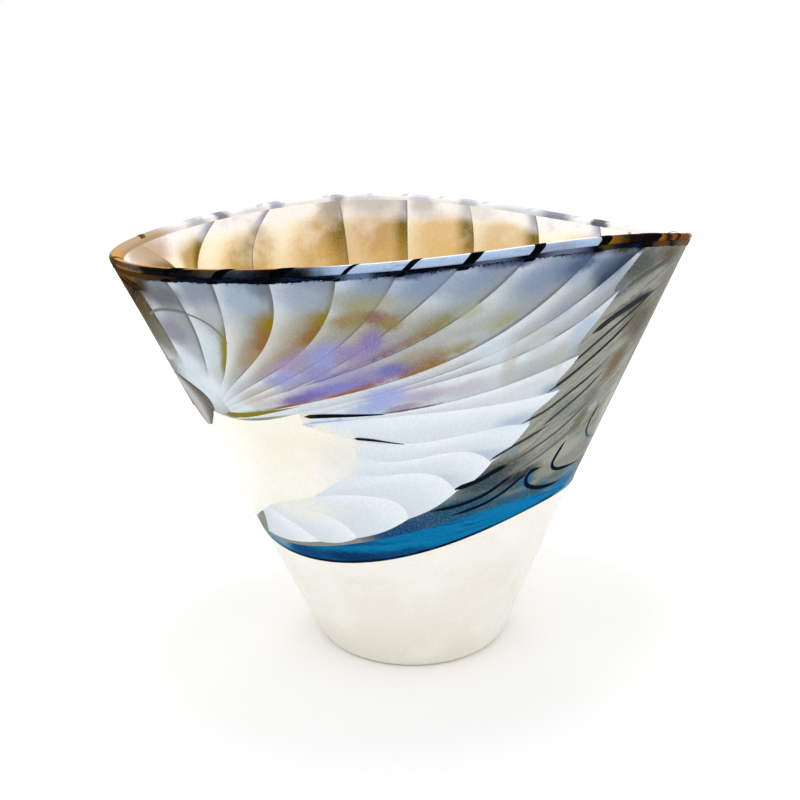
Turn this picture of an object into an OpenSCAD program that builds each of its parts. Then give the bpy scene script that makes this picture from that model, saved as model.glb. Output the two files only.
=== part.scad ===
// Hand blown art glass vase with a drawn-out oval mouth.
// Straight-sided flared wall on a small round base. An ivory cup of glass carries a smoke grey bowl,
// joined at a wavy teal seam, with white opal plumes combed across both faces.
// Places on the wall are given as a bearing around the vase in degrees (0 faces the front, -Y, and
// positive turns towards +X), a slant distance up the wall from the base, and a depth into the wall.

/* [Body] */
// Radius of the round base
base_r = 40.5; // [38:0.5:43]
// Length of the straight wall from the base edge to the lip
slant = 183; // [180:1:190]
// Wall thickness at the lip, measured level
wall_t = 4.5; // [4:0.1:5.5]
// Thickness of the coloured outer layer
skin_t = 3; // [2.4:0.1:3.4]
// Radius of the ground disc under the vase
foot_r = 34; // [30:0.5:35]
// Thickness of the floor
floor_t = 8.5; // [7.5:0.5:12]

/* [Mouth] */
// Mean radius of the mouth
mouth_r = 102.5; // [98:0.5:106]
// How far the mouth is drawn out into an oval
oval = 15.5; // [10:0.5:18]
// Bearing of the long end of the oval
oval_bearing = 114; // [90:1:135]
// How far the oval is rounded towards three corners
lobe = 4.3; // [0:0.1:6]
// Bearing of one of those corners
lobe_bearing = 8; // [0:1:30]
// Height of the bead on the lip
lip_h = 2.8; // [2:0.1:3.5]
// Height of the dark thread under the bead
lip_thread_h = 2.4; // [1.5:0.1:3]

/* [Seam] */
// Mean slant distance up to the seam
seam_h = 67; // [64:0.5:70]
// How far the seam tilts
seam_tilt = 7; // [0:0.5:8]
// How far the seam waves
seam_wave = 4; // [0:0.5:5]
// Mean height of the teal band above the seam
band_h = 6.5; // [6:0.25:7]
// How much the band swells at the front and the rear
band_swell = 5; // [0:0.25:5]
// Height of the dark thread at the foot of the band
seam_thread_h = 1.2; // [0.8:0.1:1.4]

/* [Plumes and threads] */
// How far a plume stands proud at its sharp edge
plume_proud = 0.6; // [0.3:0.1:0.9]
// How far a plume stands proud where it slips under the next one
plume_low = 0.2; // [0.1:0.05:0.3]
// How far the plain opal field stands proud at its middle
field_proud = 0.4; // [0.3:0.1:0.6]
// Share of its height that the rear fan keeps, packed towards the lip
rear_pack = 0.87; // [0.85:0.01:0.9]
// Width of a combed thread
thread_w = 1.1; // [0.8:0.1:1.6]
// How far a thread stands proud
thread_proud = 0.4; // [0.2:0.1:0.6]

/* [Hidden] */
$fn = 96;
COLUMNS = 96;                     // wall columns around the vase
STEP_DEG = 6;                     // widest step along a plume, so that it follows the round wall
MIN_STEPS = 6;                    // fewest steps along a plume
SPLITS = 2;                       // steps across a plume
SUNK = 0.1;                       // how far a plume or thread is bedded in the wall
lip_foot = slant - lip_h;         // slant distance to the foot of the bead
pattern_top = lip_foot - lip_thread_h;

// Edges of the front plumes, each a smooth curve through four [bearing, slant] places, root to tip
plume_edges = [
    [[-57, 139], [-57, 150], [-58, 163], [-59, 177]],
    [[-50, 133], [-47, 149], [-46, 163], [-48, 177]],
    [[-49, 132], [-42, 145], [-38, 161], [-37, 177]],
    [[-48, 130], [-38, 143], [-29, 158], [-26, 177]],
    [[-48, 128], [-34, 141], [-21, 156], [-14, 177]],
    [[-47, 127], [-31, 139], [-15, 155], [-3, 177]],
    [[-47, 126], [-27, 138], [-8, 156], [9, 177]],
    [[-47, 125], [-23, 140], [2, 155], [24, 177]],
    [[-47, 122], [-15, 136], [17, 151], [45, 177]],
    [[-27, 128], [4, 140], [34, 154], [62, 177]],
    [[-21, 128], [6, 138], [32, 145], [57, 162]],
    [[-26, 126], [-1, 128], [24, 132], [49, 138]],
    [[-27, 123], [-3, 126], [21, 125], [45, 125]],
    [[-15, 117], [2, 114], [19, 115], [36, 113]],
    [[-15, 110], [-2, 107], [11, 108], [24, 100]],
    [[-17, 102], [-6, 101], [4, 100], [13, 90]],
    [[-30, 90], [-20, 92], [-8, 90], [-2, 80]],
    [[-42, 85], [-34, 84], [-25, 80], [-19, 71]],
    [[-50, 80], [-45, 77], [-38, 72], [-33, 67]],
    [[-56, 75], [-57, 70], [-59, 66], [-61, 62]]
];
PLUMES = len(plume_edges) - 1;

// Far edge of the plain opal field, whose near edge joins the roots of the lower plumes
field_edge = [[-60, 125], [-70, 119], [-77, 112], [-81, 105], [-83, 97],
              [-82, 88], [-79, 80], [-74, 73], [-67, 67]];
field_roots = [9, 12, 13, 14, 15, 16, 17, 18, 19];
FIELD_SPLITS = 10;                // steps across the field
FIELD_STEP = 0.5;                 // step down the field, in places of the lists above
field_sag = 4;                    // how far the field's top edge hangs below a straight line

// Smoke streaks left of the front fan, each as its far edge and the edge nearest the fan
smoke_streaks = [
    [[[-58, 124], [-63, 126], [-68, 129], [-74, 132]], [[-54, 127], [-55, 131], [-58, 134], [-66, 135]]],
    [[[-64, 141], [-67, 152], [-70, 164], [-74, 177]], [[-59, 141], [-59, 152], [-60, 164], [-61, 177]]]
];

// Routes of the combed threads beside the front plumes, as [bearing, slant] places
thread_routes = [
    [[13, 91], [20, 94], [27, 96], [33, 98]],
    [[2, 82], [11, 84], [20, 86], [28, 88], [35, 91], [42, 96], [49, 99], [57, 103], [64, 109]],
    [[12, 79], [23, 80], [30, 84], [36, 87], [41, 90], [45, 91]],
    [[44, 89], [42, 87], [42, 85], [46, 82], [54, 80], [64, 80]],
    [[23, 101], [30, 105], [38, 108], [46, 112], [54, 118], [62, 126], [68, 134]],
    [[34, 99], [42, 102], [50, 106], [58, 112], [65, 119], [70, 127]],
    [[56, 101], [54, 95], [53, 90], [57, 87], [66, 85], [80, 85]],
    [[71, 112], [69, 106], [69, 100], [74, 97], [84, 94]],
    [[32, 114], [41, 117], [50, 122], [58, 128], [66, 137]],
    [[38, 124], [48, 130], [58, 138], [66, 146], [73, 155], [77, 163]],
    [[52, 145], [60, 152], [69, 157], [76, 164], [82, 174]]
];

// Bearings where a dark cane crosses the lip
cane_bearings = [-48, -37, -26, -14, -3, 9, 24, 44, 61, 74, 88, 102,
                 118, 132, 143, 154, 166, 177, -171, -156, -136, -119, -100, -74];

plume_nodes = [for (fan = ["front", "rear"], i = [1:PLUMES]) str(fan, "_plume_", i < 10 ? "0" : "", i)];

function mouth(b) = mouth_r + oval * cos(2 * (b - oval_bearing)) + lobe * cos(3 * (b - lobe_bearing));
function lip_z(b) = sqrt(slant ^ 2 - (mouth(b) - base_r) ^ 2);

// Radius and height of a place on the wall
function wall_rz(b, s, d = 0) = [base_r + (mouth(b) - base_r) * s / slant - d, lip_z(b) * s / slant];

// The same place as a point
function wall_point(b, s, d = 0) =
    let (rz = wall_rz(b, s, d)) [rz.x * sin(b), -rz.x * cos(b), rz.y];

// Radius of the wall at a level height
function wall_r_at(b, z, d) = wall_rz(b, z * slant / lip_z(b), d).x;

// Slant distance to the seam and to the top of the teal band
function seam(b) = seam_h + seam_tilt * sin(b - 43) + seam_wave * sin(2 * b);
function band_top(b) = seam(b) + band_h + band_swell * cos(2 * (b - 3));

// Smooth curve through four places
function along(edge, t) =
    let (u = 3 * t)
    edge[0] * (1 - u) * (2 - u) * (3 - u) / 6 + edge[1] * u * (2 - u) * (3 - u) / 2
    + edge[2] * u * (u - 1) * (3 - u) / 2 + edge[3] * u * (u - 1) * (u - 2) / 6;

// Place number k of a list, or a mix of the two nearest when k isn't whole
function between(places, k) =
    let (i = floor(k), f = k - i)
    places[i] * (1 - f) + places[min(i + 1, len(places) - 1)] * f;

// Closed ring of glass whose section at each bearing is a list of [radius, height] points
module ring(section) {
    n = len(section(0));
    points = [for (i = [0:COLUMNS - 1], p = section(i * 360 / COLUMNS))
        let (b = i * 360 / COLUMNS) [p.x * sin(b), -p.x * cos(b), p.y]];
    faces = [for (i = [0:COLUMNS - 1], j = [0:n - 1])
        let (k = (i + 1) % COLUMNS, m = (j + 1) % n)
        each [[i * n + j, i * n + m, k * n + m], [i * n + j, k * n + m, k * n + j]]];
    polyhedron(points, faces);
}

// Raised tile of glass between two rows of places, given as a grid of [bearing, slant, proud]
module tile(grid) {
    rows = len(grid);
    cols = len(grid[0]);
    top = [for (row = grid, p = row) wall_point(p.x, p.y, -p.z)];
    under = [for (row = grid, p = row) wall_point(p.x, p.y, SUNK)];
    half = rows * cols;
    skin = [for (i = [0:rows - 2], j = [0:cols - 2])
        let (a = i * cols + j, b = a + 1, c = a + cols + 1, d = a + cols)
        each [[a, c, b], [a, d, c], [half + a, half + b, half + c], [half + a, half + c, half + d]]];
    rim = concat([for (j = [0:cols - 2]) [j, j + 1]],
                 [for (i = [0:rows - 2]) [i * cols + cols - 1, (i + 1) * cols + cols - 1]],
                 [for (j = [cols - 1:-1:1]) [(rows - 1) * cols + j, (rows - 1) * cols + j - 1]],
                 [for (i = [rows - 1:-1:1]) [i * cols, (i - 1) * cols]]);
    sides = [for (e = rim) each [[e.x, half + e.y, half + e.x], [e.x, e.y, half + e.y]]];
    polyhedron(concat(top, under), concat(skin, sides));
}

// Thread laid along a route, as a narrow raised ribbon
module thread(route, width, proud) {
    mm_per_deg = PI / 180 * base_r * 2;
    last = len(route) - 1;
    grid = [for (i = [0:last])
        let (a = route[max(i - 1, 0)], b = route[min(i + 1, last)],
             run = [(b.x - a.x) * mm_per_deg, b.y - a.y],
             half_w = width / 2 * (i == 0 || i == last ? 0.4 : 1),
             side = [-run.y, run.x] / norm(run) * half_w,
             step = [side.x / mm_per_deg, side.y])
        [for (k = [1, -1]) [route[i].x + k * step.x, route[i].y + k * step.y, proud]]];
    tile(grid);
}

// Ground and polished disc that the vase stands on
module ground_foot_disc() {
    color("ivory") cylinder(r = foot_r, h = floor_t);
}

// Lower cup of ivory glass, from the ground edge up to the seam
module ivory_base_cup() {
    floor_z = floor_t - wall_t + skin_t;
    color("ivory") ring(function (b) [
        [foot_r, 0], wall_rz(b, 0, 2.2), wall_rz(b, 0.5, 1), wall_rz(b, 1.3, 0.3), wall_rz(b, 2.5),
        wall_rz(b, seam(b)), wall_rz(b, seam(b), skin_t),
        [wall_r_at(b, floor_z, skin_t), floor_z], [foot_r, floor_z]
    ]);
}

// Amber-tinted lining, from the floor up to the bead on the lip
module amber_inner_lining() {
    floor_z = floor_t - wall_t + skin_t;
    cove = 2;
    color("goldenrod") ring(function (b) [
        [foot_r, floor_z], [wall_r_at(b, floor_z, skin_t), floor_z],
        wall_rz(b, lip_foot, skin_t), wall_rz(b, lip_foot, wall_t),
        [wall_r_at(b, floor_t + cove, wall_t), floor_t + cove],
        [wall_r_at(b, floor_t, wall_t + cove), floor_t], [foot_r, floor_t]
    ]);
}

// Outer layer between two slant distances, each a function of the bearing
module layer(low, high) {
    ring(function (b) [wall_rz(b, low(b), skin_t), wall_rz(b, low(b)),
                       wall_rz(b, high(b)), wall_rz(b, high(b), skin_t)]);
}

// Translucent smoke grey ground above the teal band
module smoke_bowl_layer() {
    color("lightslategray") layer(function (b) band_top(b), function (b) pattern_top);
}

// Teal glass that joins the cup to the bowl
module teal_seam_band() {
    color("teal") layer(function (b) seam(b) + seam_thread_h, function (b) band_top(b));
}

// Dark line at the foot of the teal band
module navy_seam_thread() {
    color("midnightblue") layer(function (b) seam(b), function (b) seam(b) + seam_thread_h);
}

// Rounded bead of pale glass around the lip
module lip_bead_wrap() {
    color("aliceblue") ring(function (b) concat(
        [wall_rz(b, lip_foot, wall_t), wall_rz(b, lip_foot)],
        [for (a = [0:30:180])
            wall_rz(b, lip_foot + lip_h * (0.45 + 0.55 * sin(a)), wall_t * (1 - cos(a)) / 2)]
    ));
}

// Dark thread wound under the bead
module dark_lip_thread() {
    color("black") layer(function (b) pattern_top, function (b) lip_foot);
}

// Short dark canes slanting across the bead
module lip_canes() {
    lean = 4;
    color("black") for (b = cane_bearings)
        thread([[b, pattern_top + 0.4], [b + lean / 2, lip_foot + 0.1], [b + lean, slant - 1.6]],
               4 * thread_w, thread_proud / 2);
}

// A place of the front pattern, turned round the vase and packed towards the lip
function placed(p, turn, pack) = [p.x + turn, pattern_top - (pattern_top - p.y) * pack];

// Steps that a strip between two edges needs to follow the round wall
function steps(a, b) =
    max(MIN_STEPS, ceil(max(abs(a[3].x - a[0].x), abs(b[3].x - b[0].x)) / STEP_DEG));

// One white opal plume, sharp and proud on its upper edge and tucked low on its lower edge
module plume(i, turn = 0, pack = 1) {
    upper = plume_edges[i - 1];
    lower = plume_edges[i];
    n = steps(upper, lower);
    grid = [for (k = [0:n]) [for (j = [0:SPLITS])
        let (t = k / n, u = j / SPLITS,
             place = placed(along(upper, t) * (1 - u) + along(lower, t) * u, turn, pack),
             swell = sin(90 * min(1, 4 * t + 0.05)))
        [place.x, place.y, (plume_proud * (1 - u) + plume_low * u) * swell]]];
    color("whitesmoke") tile(grid);
}

// Plain opal glass where the lower plumes run together
module opal_field(turn = 0, pack = 1) {
    near_edge = [for (i = field_roots) plume_edges[i][0]];
    grid = [for (k = [0:FIELD_STEP:len(field_edge) - 1]) [for (j = [0:FIELD_SPLITS])
        let (u = j / FIELD_SPLITS,
             sag = [0, field_sag * sin(180 * u) * max(0, 1 - k / 2)],
             place = placed(between(near_edge, k) * (1 - u) + between(field_edge, k) * u - sag, turn, pack))
        [place.x, place.y, field_proud * (0.5 + 0.5 * sin(180 * u))]]];
    color("ivory") tile(grid);
}

// Dark smoke glass combed in beside the fan
module smoke_streak_pair(turn = 0, pack = 1) {
    color("dimgray") for (streak = smoke_streaks) {
        n = steps(streak[0], streak[1]);
        tile([for (k = [0:n]) [for (j = [0:SPLITS])
            let (t = k / n, u = j / SPLITS,
                 place = placed(along(streak[0], t) * (1 - u) + along(streak[1], t) * u, turn, pack))
            [place.x, place.y, field_proud / 2]]]);
    }
}

// Dark threads drawn out through the smoke glass
module combed_threads(turn = 0, pack = 1) {
    color("darkslategray") for (route = thread_routes)
        thread([for (p = route) placed(p, turn, pack)], thread_w, thread_proud);
}

ground_foot_disc();
ivory_base_cup();
amber_inner_lining();
smoke_bowl_layer();
teal_seam_band();
navy_seam_thread();
lip_bead_wrap();
dark_lip_thread();
lip_canes();
combed_threads();  // front_combed_threads
combed_threads(180, rear_pack);  // rear_combed_threads
opal_field();  // front_opal_field
opal_field(180, rear_pack);  // rear_opal_field
smoke_streak_pair();  // front_smoke_streaks
smoke_streak_pair(180, rear_pack);  // rear_smoke_streaks
for (i = [1:PLUMES]) {
    plume(i);
    plume(i, 180, rear_pack);
}
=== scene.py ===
"""Looks of a hand blown art glass vase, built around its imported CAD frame.

Places on the wall use the design's own coordinates: a bearing in degrees (0 is the front, -Y, and positive
turns towards +X), a slant distance in mm up the wall from the base, and a level depth in mm into the wall.
The fan of plumes is drawn once, in front coordinates. The rear fan is the same one, turned and packed.
"""
import math
import bpy
import numpy as np
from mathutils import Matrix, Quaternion, Vector


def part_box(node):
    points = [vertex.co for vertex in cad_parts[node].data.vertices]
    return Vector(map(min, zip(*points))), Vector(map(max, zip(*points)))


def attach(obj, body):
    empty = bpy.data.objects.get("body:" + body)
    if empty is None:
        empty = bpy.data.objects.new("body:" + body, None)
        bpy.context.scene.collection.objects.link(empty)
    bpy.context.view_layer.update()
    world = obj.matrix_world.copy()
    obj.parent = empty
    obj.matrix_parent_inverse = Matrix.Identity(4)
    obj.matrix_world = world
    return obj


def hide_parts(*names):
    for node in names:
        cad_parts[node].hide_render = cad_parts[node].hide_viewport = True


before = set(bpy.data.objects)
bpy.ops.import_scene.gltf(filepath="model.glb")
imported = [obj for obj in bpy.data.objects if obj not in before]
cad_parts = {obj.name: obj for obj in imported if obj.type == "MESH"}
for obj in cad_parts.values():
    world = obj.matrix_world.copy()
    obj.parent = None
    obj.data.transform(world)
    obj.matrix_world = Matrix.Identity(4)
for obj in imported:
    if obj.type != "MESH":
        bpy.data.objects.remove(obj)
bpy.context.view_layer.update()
scene = bpy.context.scene

MM = 0.001

# Wall of the vase, in mm
BASE_R, SLANT, WALL_T, SKIN_T = 40.5, 183.0, 4.5, 3.0
FOOT_R, FLOOR_T = 34.0, 8.5
SKIN_FLOOR = FLOOR_T - WALL_T + SKIN_T
MOUTH_R, OVAL, OVAL_BEARING, LOBE, LOBE_BEARING = 102.5, 15.5, 114.0, 4.3, 8.0
FOOT_CHAMFER, PONTIL_R, PONTIL_EYE, PONTIL_DEPTH = 0.25, 15.0, 3.0, 1.2
LIP_H, LIP_THREAD_H = 2.8, 2.4
BEAD_SIDE = 0.45                  # share of the bead's height below its round top
LIP_FOOT = SLANT - LIP_H
PATTERN_TOP = LIP_FOOT - LIP_THREAD_H
SEAM_H, SEAM_TILT, SEAM_WAVE = 67.0, 7.0, 4.0
BAND_H, BAND_SWELL, SEAM_THREAD_H = 6.5, 5.0, 1.2

# Relief of the fan, in mm
PLUME_PROUD, PLUME_LOW, SUNK = 0.24, 0.06, 0.3
TIP_HOLLOW = 0.045                # share of a claw-like tip's length cut away beside its point
CLAWED = range(10, 14)            # plumes whose tips are cut away like that
FIRST_ROUND = 14                  # plumes from here down have round, bulging tips
TIP_BULGE, BULGE_WAY = 1.2, (0.6, -0.8)      # how far it bulges and which way, in degrees and mm
BRISK = range(1, 9)               # plumes that rise to full relief close to their roots
SMOKE_PROUD, THREAD_PROUD, STROKE_PROUD = 0.25, 0.35, 0.5
THREAD_TAPER, STROKE_TAPER = (0.12, 0.3), (0.08, 0.7)    # shares of the length that taper at each end
LIP_OVERLAP = 1.8                 # how far the glass below runs on under the dark lip thread
BAND_PROUD, NAVY_PROUD, LIP_THREAD_PROUD = 0.05, 0.12, 0.26
GAIN = 0.9                        # albedo that shows a colour as written under the studio light
FANS = {"front": (0.0, 1.0), "rear": (180.0, 0.87)}      # turn in degrees, share of its height kept

# Edges of the plumes, each a smooth curve through four (bearing, slant) places, root to tip
PLUME_EDGES = np.array([
    [(-57, 139), (-57, 150), (-58, 163), (-59, 177)],
    [(-50, 133), (-47, 149), (-46, 163), (-48, 177)],
    [(-49, 132), (-42, 145), (-38, 161), (-37, 177)],
    [(-48, 130), (-38, 143), (-29, 158), (-26, 177)],
    [(-48, 128), (-34, 141), (-21, 156), (-14, 177)],
    [(-47, 127), (-31, 139), (-15, 155), (-3, 177)],
    [(-47, 126), (-27, 138), (-8, 156), (9, 177)],
    [(-47, 125), (-23, 140), (2, 155), (24, 177)],
    [(-47, 122), (-15, 136), (17, 151), (45, 177)],
    [(-27, 128), (4, 140), (34, 154), (62, 177)],
    [(-21, 128), (6, 138), (32, 145), (57, 162)],
    [(-26, 126), (-1, 128), (24, 132), (49, 138)],
    [(-27, 123), (-3, 126), (21, 125), (45, 125)],
    [(-15, 117), (2, 114), (19, 115), (36, 113)],
    [(-15, 110), (-2, 107), (11, 108), (24, 100)],
    [(-17, 102), (-6, 101), (4, 100), (13, 90)],
    [(-30, 90), (-20, 92), (-8, 90), (-2, 80)],
    [(-42, 85), (-34, 84), (-25, 80), (-19, 71)],
    [(-50, 80), (-45, 77), (-38, 72), (-33, 67)],
    [(-56, 75), (-57, 70), (-59, 66), (-61, 62)],
], float)
PLUMES = len(PLUME_EDGES) - 1
PLUME_EDGES[:10, 3, 1] = PATTERN_TOP + LIP_OVERLAP

# Far edge of the plain opal field, and the plume roots that make its near edge
FIELD_EDGE = np.array([(-60, 125), (-70, 119), (-77, 112), (-81, 105), (-83, 97),
                       (-82, 88), (-79, 80), (-74, 73), (-67, 67)], float)
FIELD_ROOTS = [9, 12, 13, 14, 15, 16, 17, 18, 19]
FIELD_SAG, FIELD_PROUD = 4.0, 0.12

# Smoke streaks left of the fan, each as its far edge and the edge nearest the fan
SMOKE_STREAKS = np.array([
    [[(-63, 114), (-67, 120), (-70, 128), (-71, 134)],
     [(-59, 115.5), (-53.5, 124), (-54.5, 131), (-64, 136)]],
    [[(-66, 142), (-68, 152), (-71, 164), (-74, 178)],
     [(-61, 143.5), (-56, 151), (-57, 161), (-61, 172)]],
], float)

# Combed threads beside the fan: places on the route, width in mm, and how dark the glass is
THREADS = [
    ([(12, 91), (20, 93), (27, 96), (33, 97.5)], 2.3, 1.0),
    ([(5, 82.5), (15, 83.5), (24, 86), (31, 90), (38, 93.5)], 1.7, 1.0),
    ([(34, 92), (42, 95.5), (49, 99), (57, 104), (64, 110)], 0.8, 0.45),
    ([(12, 79), (24, 81.5), (32, 85), (38, 89), (45, 91)], 1.5, 0.95),
    ([(47, 91), (42.5, 90.5), (41, 87.5), (43, 84), (50, 81), (60, 80), (70, 81)], 2.0, 0.95),
    ([(23, 101), (30, 104.5), (38, 107.5), (46, 111)], 1.2, 0.75),
    ([(33, 98), (42, 102), (50, 106), (58, 112), (65, 119)], 0.9, 0.6),
    ([(57, 100), (54.5, 95), (53.5, 90.5), (57, 87.3), (66, 86), (80, 85.5)], 1.6, 0.95),
    ([(71, 113), (69, 106), (69.5, 101), (74, 97), (84, 94.5)], 1.3, 0.7),
    ([(42, 110.5), (50, 116), (58, 122), (66, 130)], 1.1, 0.7),
    ([(32, 114), (41, 117), (50, 122.5), (58, 128), (66, 136)], 1.0, 0.75),
    ([(40, 125), (48, 130), (58, 138), (66, 146), (73, 155)], 1.3, 0.8),
    ([(46, 134), (54, 141), (62, 148), (70, 155), (77, 162)], 1.2, 0.75),
    ([(50, 99), (56, 103), (61, 108), (66, 115)], 0.7, 0.4),
    ([(52, 146), (60, 152), (69, 157), (78, 161)], 2.6, 0.8),
    ([(60, 163), (66, 167), (73, 171), (80, 174)], 2.0, 0.6),
]

# Strokes near the roots of the fan, in the same form
STROKES = [
    ([(-26, 126.6), (-20, 127.2), (-12, 127.2), (-4, 127)], 1.6, 1.0),
    ([(-15, 117.5), (-11, 116.7), (-7, 115.4), (0, 113)], 1.1, 0.9),
    ([(-49, 123.6), (-42, 125), (-35, 127.6), (-26, 131.2)], 2.0, 0.5),
    ([(-62, 162), (-55, 166), (-48, 166.5), (-42, 163), (-39, 156), (-39.5, 149)], 1.2, 0.45),
]

# Bearings where a dark cane crosses the lip, and how wide each is in mm
CANES = {-48: 7, -37: 5, -26: 6, -14: 2, -3: 3, 9: 5, 24: 5, 44: 6, 61: 14, 74: 4, 88: 3, 102: 2.5,
         118: 2, 132: 3, 143: 2, 154: 2.5, 166: 2, 177: 3, -171: 2, -156: 3, -136: 3, -119: 3,
         -100: 4, -74: 5}
CANE_LEAN = 4.5                   # degrees a cane slants round the lip on its way over the bead

# Inside panels of the rear half: bearing of each edge at the lip, and how far it leans on the way down,
# in degrees. The front half has the same ones.
REAR_PANELS = [(120, 0), (130, -5), (146, -4), (162.5, -3), (180.5, 0), (204, -1), (224, 11), (239, 14),
               (269, -13)]
PANEL_EDGES = [(b - 180, lean) for b, lean in REAR_PANELS] + REAR_PANELS
LEAN_DEPTH = 30.0

# Marks on the far lip: bearing, half width, colour and strength
REAR_MARKS = [
    (-92, 18, "b39c80", 0.95), (-113, 5, "a39ca0", 0.7), (-121, 3, "4c5468", 0.8), (-129, 5, "dcdce6", 0.7),
    (-136, 3, "7c84a4", 0.7), (-155, 4, "70768c", 0.7), (-165, 9, "d4d5e2", 0.7), (176, 5, "b4b8ca", 0.6),
    (163, 4, "8c94ac", 0.6), (150, 8, "c4c8d8", 0.6), (141, 6, "56607c", 0.8), (130, 3, "2c3c4c", 0.9),
]

# Camera, in m and degrees: the one that fits the photograph's outline, mouth and base
CAMERA_AT, CAMERA_AIM, CAMERA_ROLL = (-0.0049, -0.396, 0.223), (-0.0049, 0, 0.1009), -0.44
LENS, SENSOR = 45.0, 36.0

# Round softboxes, in m and W: place, aim, diameter and power
SOFTBOXES = {
    "key": ((-0.7, -0.6, 1.1), (0, 0, 0.1), 0.5, 0.9),
    "fill": ((0.9, -0.9, 0.7), (0, 0, 0.1), 0.5, 0.4),
    "top": ((0, 0.05, 0.8), (0, 0.02, 0.1), 0.35, 1.6),
    "back": ((0.1, 1.0, 0.9), (0, 0, 0.12), 0.5, 1.0),
}
FLOOR_HALF = 6.0


# -------------------- the wall

def mouth(b):
    return (MOUTH_R + OVAL * np.cos(np.radians(2 * (b - OVAL_BEARING)))
            + LOBE * np.cos(np.radians(3 * (b - LOBE_BEARING))))


def lip_z(b):
    return np.sqrt(SLANT ** 2 - (mouth(b) - BASE_R) ** 2)


def wall_rz(b, s, d=0.0):
    """Radius and height, in mm, of a place on the wall."""
    return BASE_R + (mouth(b) - BASE_R) * s / SLANT - d, lip_z(b) * s / SLANT


def wall_points(b, s, d=0.0):
    """Points in metres for arrays of bearings, slants and depths."""
    r, z = wall_rz(b, s, d)
    a = np.radians(b)
    return np.stack([r * np.sin(a), -r * np.cos(a), z], -1) * MM


def seam(b):
    return SEAM_H + SEAM_TILT * np.sin(np.radians(b - 43)) + SEAM_WAVE * np.sin(np.radians(2 * b))


def band_top(b):
    return seam(b) + BAND_H + BAND_SWELL * np.cos(np.radians(2 * (b - 3)))


def along(edge, t):
    """Smooth curve through an edge's four places."""
    u = 3 * np.asarray(t, float)[..., None]
    return (edge[0] * (1 - u) * (2 - u) * (3 - u) / 6 + edge[1] * u * (2 - u) * (3 - u) / 2
            + edge[2] * u * (u - 1) * (3 - u) / 2 + edge[3] * u * (u - 1) * (u - 2) / 6)


def route(places, n):
    """Smooth route through a list of places, as n places."""
    p = np.array(places, float)
    p = np.vstack([2 * p[0] - p[1], p, 2 * p[-1] - p[-2]])
    k = np.linspace(0, len(p) - 3 - 1e-9, n)
    i = k.astype(int)
    f = (k - i)[:, None]
    a, b, c, d = p[i], p[i + 1], p[i + 2], p[i + 3]
    bend, twist = 2 * a - 5 * b + 4 * c - d, 3 * b - a - 3 * c + d
    return 0.5 * (2 * b + (c - a) * f + bend * f ** 2 + twist * f ** 3)


def placed(places, fan):
    """Front-fan places moved to where the named fan has them."""
    turn, pack = FANS[fan]
    return places[..., 0] + turn, PATTERN_TOP - (PATTERN_TOP - places[..., 1]) * pack


def fan_place(b, s):
    """Front-fan coordinates of places given by their true bearing and slant."""
    b = (b + 180) % 360 - 180
    rear = np.abs(b) > 90
    turn, pack = FANS["rear"]
    rear_b, rear_s = (b + 360) % 360 - turn, PATTERN_TOP - (PATTERN_TOP - s) / pack
    return np.where(rear, rear_b, b), np.where(rear, rear_s, s)


def waves(b, count, seed, low, high):
    """A ragged line around the vase, from -1 to 1 or so: seeded waves, low to high of them a turn."""
    rng = np.random.default_rng(seed)
    total = np.zeros_like(b, float)
    for k in rng.integers(low, high, count):
        total += np.sin(np.radians(k * b + rng.uniform(0, 360))) / math.sqrt(count)
    return total


# -------------------- meshes

def in_scene(name, data):
    obj = bpy.data.objects.new(name, data)
    scene.collection.objects.link(obj)
    return obj


def build(name, verts, faces, place, strip, glass, slot, nodes):
    """A mesh piece with the attributes its glass reads, riding on the body and standing for CAD nodes."""
    mesh = bpy.data.meshes.new(name)
    mesh.from_pydata(verts, [], faces)
    for key, values in (("place", place), ("strip", strip)):
        layer = mesh.attributes.new(key, "FLOAT_VECTOR", "CORNER")
        layer.data.foreach_set("vector", np.ascontiguousarray(values, np.float32).ravel())
    mesh.polygons.foreach_set("use_smooth", [True] * len(mesh.polygons))
    mesh.set_sharp_from_angle(angle=math.radians(38))
    mesh.materials.append(glass)
    mesh.update()
    piece = in_scene(name, mesh)
    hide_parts(*nodes)
    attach(piece, "root")
    return piece


def quads(rows, cols, wrap_rows=False, wrap_cols=False):
    """Corner indices of the quads of a grid of rows by cols points."""
    i = np.arange(rows if wrap_rows else rows - 1)[:, None]
    j = np.arange(cols if wrap_cols else cols - 1)[None, :]
    k, m = (i + 1) % rows, (j + 1) % cols
    corners = [i * cols + j + 0 * m, k * cols + j + 0 * m, k * cols + m, i * cols + m]
    return np.stack(corners, -1).reshape(-1, 4)


def slabs(parts):
    """Closed slabs joined into one mesh, each from grids of its top, underside, place and strip values."""
    verts, faces, place, strip = [], [], [], []
    start = 0
    for top, under, places, strips, turned in parts:
        rows, cols = top.shape[:2]
        half = rows * cols
        skin = quads(rows, cols)
        rim = [np.arange(cols), np.arange(2 * cols - 1, half, cols),
               np.arange(half - 2, half - cols - 1, -1), np.arange(half - 2 * cols, 0, -cols)]
        rim = np.concatenate(rim)
        side = np.stack([rim, np.roll(rim, -1), np.roll(rim, -1) + half, rim + half], -1)
        f = np.concatenate([skin[:, ::-1], skin + half, side])
        if turned:
            f = f[:, ::-1]
        corner = f.ravel() % half
        place.append(places.reshape(half, 3)[corner])
        strip.append(strips.reshape(half, 3)[corner])
        verts.append(np.concatenate([top.reshape(-1, 3), under.reshape(-1, 3)]))
        faces.append(f + start)
        start += 2 * half
    return [np.concatenate(x) for x in (verts, faces, place, strip)]


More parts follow.
